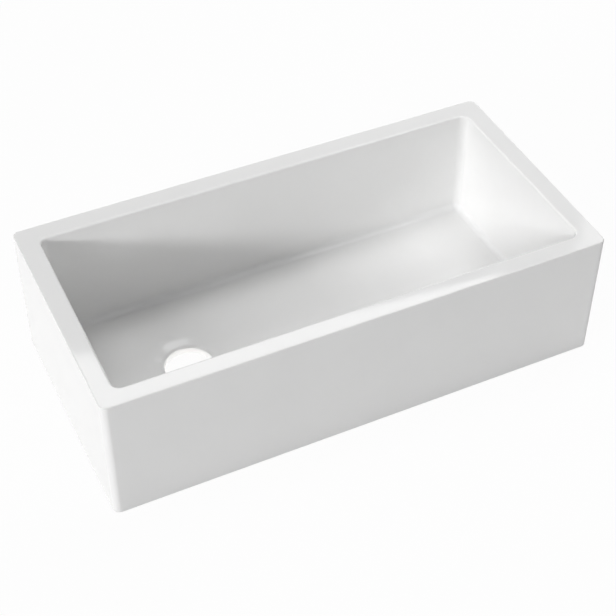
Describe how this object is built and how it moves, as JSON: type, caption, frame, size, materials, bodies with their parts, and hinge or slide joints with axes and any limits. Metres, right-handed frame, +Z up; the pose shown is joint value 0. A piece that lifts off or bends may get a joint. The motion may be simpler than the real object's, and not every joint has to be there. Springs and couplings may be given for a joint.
{
  "type": "farmhouse apron front sink",
  "caption": "Single-bowl farmhouse kitchen sink of white glazed fireclay, with a plain apron front, a wide flat rim, square sides and an open drain hole towards the left.",
  "frame": {"origin": "middle of the base, on the surface that the sink stands on", "axes": "+X along the length towards the end away from the drain, -Y out of the apron front, +Z up"},
  "size_m": [0.914, 0.455, 0.252],
  "materials": {
    "fireclay": "bare fired clay, matt",
    "engobe": "white slip, matt",
    "glaze": "gloss white glaze"
  },
  "bodies": {
    "root": {"fireclay_body": "fireclay", "engobe_coat": "engobe", "glaze_coat": "glaze"}
  },
  "joints": []
}
